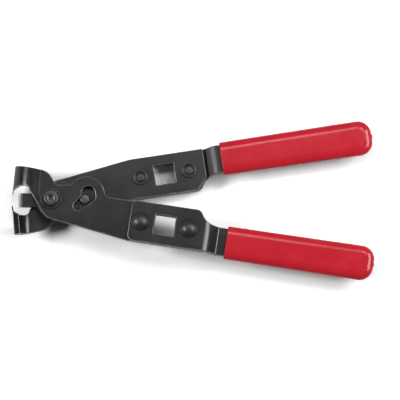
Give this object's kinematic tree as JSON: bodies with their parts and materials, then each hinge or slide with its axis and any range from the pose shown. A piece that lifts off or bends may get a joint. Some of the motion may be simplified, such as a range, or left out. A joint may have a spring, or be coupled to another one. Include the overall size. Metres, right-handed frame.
{
  "type": "ear clamp pliers",
  "caption": "Ear clamp pliers: riveted plate arms cross at a pivot screw, bent jaws close round a cam-driven anvil slide, and the handle bars end in dipped vinyl grips.",
  "frame": {"origin": "centre of the bounding box in plan, at the height of its lowest point, the rivet domes of the rear half", "axes": "+X along the tool from the jaws to the grips, +Z out of the front face through the pivot screw's head, +Y to the side of the front half's jaw"},
  "size_m": [0.2356, 0.1048, 0.0296],
  "materials": {
    "black_oxide_plate": "satin black oxide on stamped steel plate",
    "black_oxide_bar": "satin black oxide on pressed steel strip",
    "black_oxide_rivet": "satin black oxide on a headed steel rivet",
    "black_oxide_screw": "satin black oxide, worn on its rim",
    "black_oxide_washer": "satin black oxide",
    "hardened_anvil": "grey-black hardened steel with a worn tip",
    "hardened_pin": "grey-black hardened steel",
    "red_vinyl": "glossy dipped vinyl"
  },
  "bodies": {
    "front_half": {"front_jaw_plate": "black_oxide_plate", "front_handle_bar": "black_oxide_bar", "front_grip": "red_vinyl", "front_inner_rivet": "black_oxide_rivet", "front_outer_rivet": "black_oxide_rivet"},
    "rear_half": {"rear_jaw_plate": "black_oxide_plate", "rear_handle_bar": "black_oxide_bar", "rear_grip": "red_vinyl", "rear_inner_rivet": "black_oxide_rivet", "rear_outer_rivet": "black_oxide_rivet"},
    "pivot_set": {"pivot_screw": "black_oxide_screw", "front_pivot_washer": "black_oxide_washer", "rear_pivot_washer": "black_oxide_washer", "pivot_nut": "black_oxide_screw"},
    "anvil": {"anvil_slide": "hardened_anvil", "cam_pin": "hardened_pin"}
  },
  "joints": [
    {"name": "handle_pivot", "type": "hinge", "parent": "front_half", "child": "rear_half", "pos_m": [-0.09237, 0.00006, 0.0148], "axis": [0, 0, 1], "range_deg": [-16, 24]},
    {"name": "pivot_turn", "type": "hinge", "parent": "front_half", "child": "pivot_set", "pos_m": [-0.09237, 0.00006, 0.0148], "axis": [0, 0, 1], "range_deg": [-8.2, 12.2]},
    {"name": "anvil_travel", "type": "slide", "parent": "pivot_set", "child": "anvil", "axis": [-1, 0, 0], "range_m": [-0.0032, 0.0022]}
  ],
  "couplings": [
    {"joint": "pivot_turn", "follows": "handle_pivot", "ratio": 0.5},
    {"joint": "anvil_travel", "follows": "handle_pivot", "m_per_rad": -0.0075}
  ]
}
